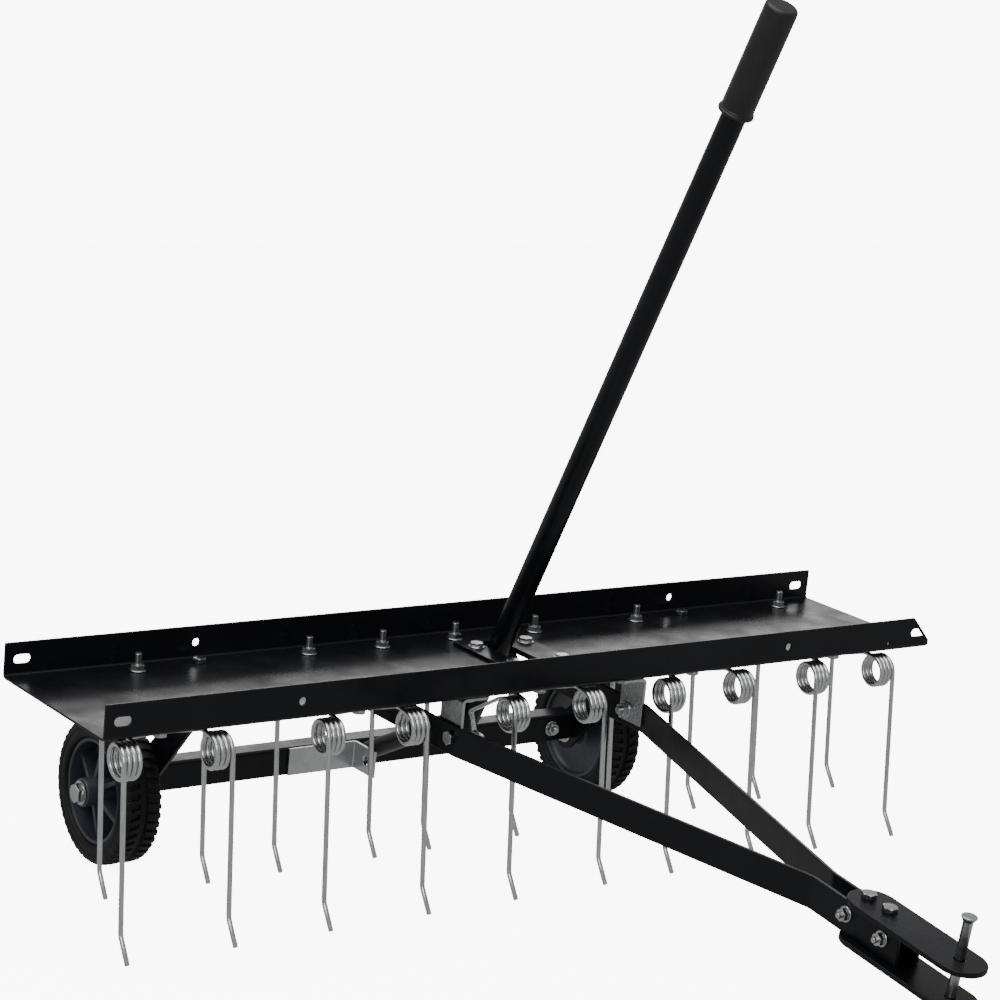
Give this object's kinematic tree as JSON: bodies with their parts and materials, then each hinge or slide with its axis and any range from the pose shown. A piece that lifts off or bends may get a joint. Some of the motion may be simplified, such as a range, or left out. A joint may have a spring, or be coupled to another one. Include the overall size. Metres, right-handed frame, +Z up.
{
  "type": "tow-behind dethatcher",
  "caption": "Tow-behind lawn dethatcher: shallow steel tray with two rows of sprung wire tines, V drawbar with pin hitch, and a hand lever that lowers two transport wheels.",
  "frame": {"origin": "bottom centre of the whole machine's box, on the ground", "axes": "+X to the machine's right, -Y forward to the hitch, +Z up"},
  "size_m": [1.016, 1.0144, 0.871],
  "materials": {
    "black_paint": "glossy black powder coat",
    "zinc": "bright zinc plate",
    "tyre": "matt black rubber",
    "grip_rubber": "satin black rubber",
    "slate_plastic": "satin slate-grey moulding"
  },
  "bodies": {
    "root": {"drawbar_left": "black_paint", "drawbar_right": "black_paint", "hanger_front_left": "zinc", "hanger_front_right": "zinc", "hanger_rear_left": "zinc", "hanger_rear_right": "zinc", "hinge_bracket_left": "zinc", "hinge_bracket_right": "zinc", "hitch_spacer": "black_paint", "hitch_strap_lower": "black_paint", "hitch_strap_upper": "black_paint", "lever_stop": "zinc", "slot_plate": "black_paint", "strap_bolt_1": "zinc", "strap_bolt_2": "zinc", "tine_bolt_front_1": "zinc", "tine_bolt_front_2": "zinc", "tine_bolt_front_3": "zinc", "tine_bolt_front_4": "zinc", "tine_bolt_front_5": "zinc", "tine_bolt_rear_1": "zinc", "tine_bolt_rear_2": "zinc", "tine_bolt_rear_3": "zinc", "tine_bolt_rear_4": "zinc", "tine_bolt_rear_5": "zinc", "tray": "black_paint"},
    "lift": {"lift_handle": "black_paint", "handle_grip": "grip_rubber", "centre_arm": "black_paint", "side_arm_left": "black_paint", "side_arm_right": "black_paint", "axle_beam": "black_paint", "beam_bracket": "zinc"},
    "wheel_left": {"tyre_left": "tyre", "rim_left": "slate_plastic"},
    "wheel_right": {"tyre_right": "tyre", "rim_right": "slate_plastic"},
    "hitch_pin": {"hitch_pin": "zinc"},
    "hitch_clip": {"hitch_clip": "zinc"},
    "tine_front_1": {"tine_front_1_left": "zinc", "tine_front_1_right": "zinc"},
    "tine_front_2": {"tine_front_2_left": "zinc", "tine_front_2_right": "zinc"},
    "tine_front_3": {"tine_front_3_left": "zinc", "tine_front_3_right": "zinc"},
    "tine_front_4": {"tine_front_4_left": "zinc", "tine_front_4_right": "zinc"},
    "tine_front_5": {"tine_front_5_left": "zinc", "tine_front_5_right": "zinc"},
    "tine_rear_1": {"tine_rear_1_left": "zinc", "tine_rear_1_right": "zinc"},
    "tine_rear_2": {"tine_rear_2_left": "zinc", "tine_rear_2_right": "zinc"},
    "tine_rear_3": {"tine_rear_3_left": "zinc", "tine_rear_3_right": "zinc"},
    "tine_rear_4": {"tine_rear_4_left": "zinc", "tine_rear_4_right": "zinc"},
    "tine_rear_5": {"tine_rear_5_left": "zinc", "tine_rear_5_right": "zinc"}
  },
  "joints": [
    {"name": "lift_lever", "type": "hinge", "parent": "root", "child": "lift", "pos_m": [0, 0.26526, 0.20844], "axis": [1, 0, 0], "range_deg": [0, 28]},
    {"name": "wheel_left_spin", "type": "hinge", "parent": "lift", "child": "wheel_left", "pos_m": [-0.312, 0.43089, 0.07633], "axis": [1, 0, 0], "continuous": true},
    {"name": "wheel_right_spin", "type": "hinge", "parent": "lift", "child": "wheel_right", "pos_m": [0.312, 0.43089, 0.07633], "axis": [1, 0, 0], "continuous": true},
    {"name": "tine_front_1_flex", "type": "hinge", "parent": "root", "child": "tine_front_1", "pos_m": [-0.4355, 0.08279, 0.18465], "axis": [1, 0, 0], "range_deg": [0, 20], "stiffness_Nm_per_rad": 30},
    {"name": "tine_front_2_flex", "type": "hinge", "parent": "root", "child": "tine_front_2", "pos_m": [-0.21975, 0.08279, 0.18465], "axis": [1, 0, 0], "range_deg": [0, 20], "stiffness_Nm_per_rad": 30},
    {"name": "tine_front_3_flex", "type": "hinge", "parent": "root", "child": "tine_front_3", "pos_m": [-0.004, 0.08279, 0.18465], "axis": [1, 0, 0], "range_deg": [0, 20], "stiffness_Nm_per_rad": 30},
    {"name": "tine_front_4_flex", "type": "hinge", "parent": "root", "child": "tine_front_4", "pos_m": [0.19475, 0.08279, 0.18465], "axis": [1, 0, 0], "range_deg": [0, 20], "stiffness_Nm_per_rad": 30},
    {"name": "tine_front_5_flex", "type": "hinge", "parent": "root", "child": "tine_front_5", "pos_m": [0.3935, 0.08279, 0.18465], "axis": [1, 0, 0], "range_deg": [0, 20], "stiffness_Nm_per_rad": 30},
    {"name": "tine_rear_1_flex", "type": "hinge", "parent": "root", "child": "tine_rear_1", "pos_m": [-0.378, 0.23131, 0.20566], "axis": [1, 0, 0], "range_deg": [0, 20], "stiffness_Nm_per_rad": 30},
    {"name": "tine_rear_2_flex", "type": "hinge", "parent": "root", "child": "tine_rear_2", "pos_m": [-0.184, 0.23131, 0.20566], "axis": [1, 0, 0], "range_deg": [0, 20], "stiffness_Nm_per_rad": 30},
    {"name": "tine_rear_3_flex", "type": "hinge", "parent": "root", "child": "tine_rear_3", "pos_m": [-0.005, 0.23131, 0.20566], "axis": [1, 0, 0], "range_deg": [0, 20], "stiffness_Nm_per_rad": 30},
    {"name": "tine_rear_4_flex", "type": "hinge", "parent": "root", "child": "tine_rear_4", "pos_m": [0.237, 0.23131, 0.20566], "axis": [1, 0, 0], "range_deg": [0, 20], "stiffness_Nm_per_rad": 30},
    {"name": "tine_rear_5_flex", "type": "hinge", "parent": "root", "child": "tine_rear_5", "pos_m": [0.444, 0.23131, 0.20566], "axis": [1, 0, 0], "range_deg": [0, 20], "stiffness_Nm_per_rad": 30},
    {"name": "hitch_pin_lift", "type": "slide", "parent": "root", "child": "hitch_pin", "axis": [0, -0.2513, 0.9679], "range_m": [0, 0.0045]},
    {"name": "hitch_clip_pull", "type": "slide", "parent": "hitch_pin", "child": "hitch_clip", "axis": [1, 0, 0], "range_m": [0, 0.035]}
  ]
}
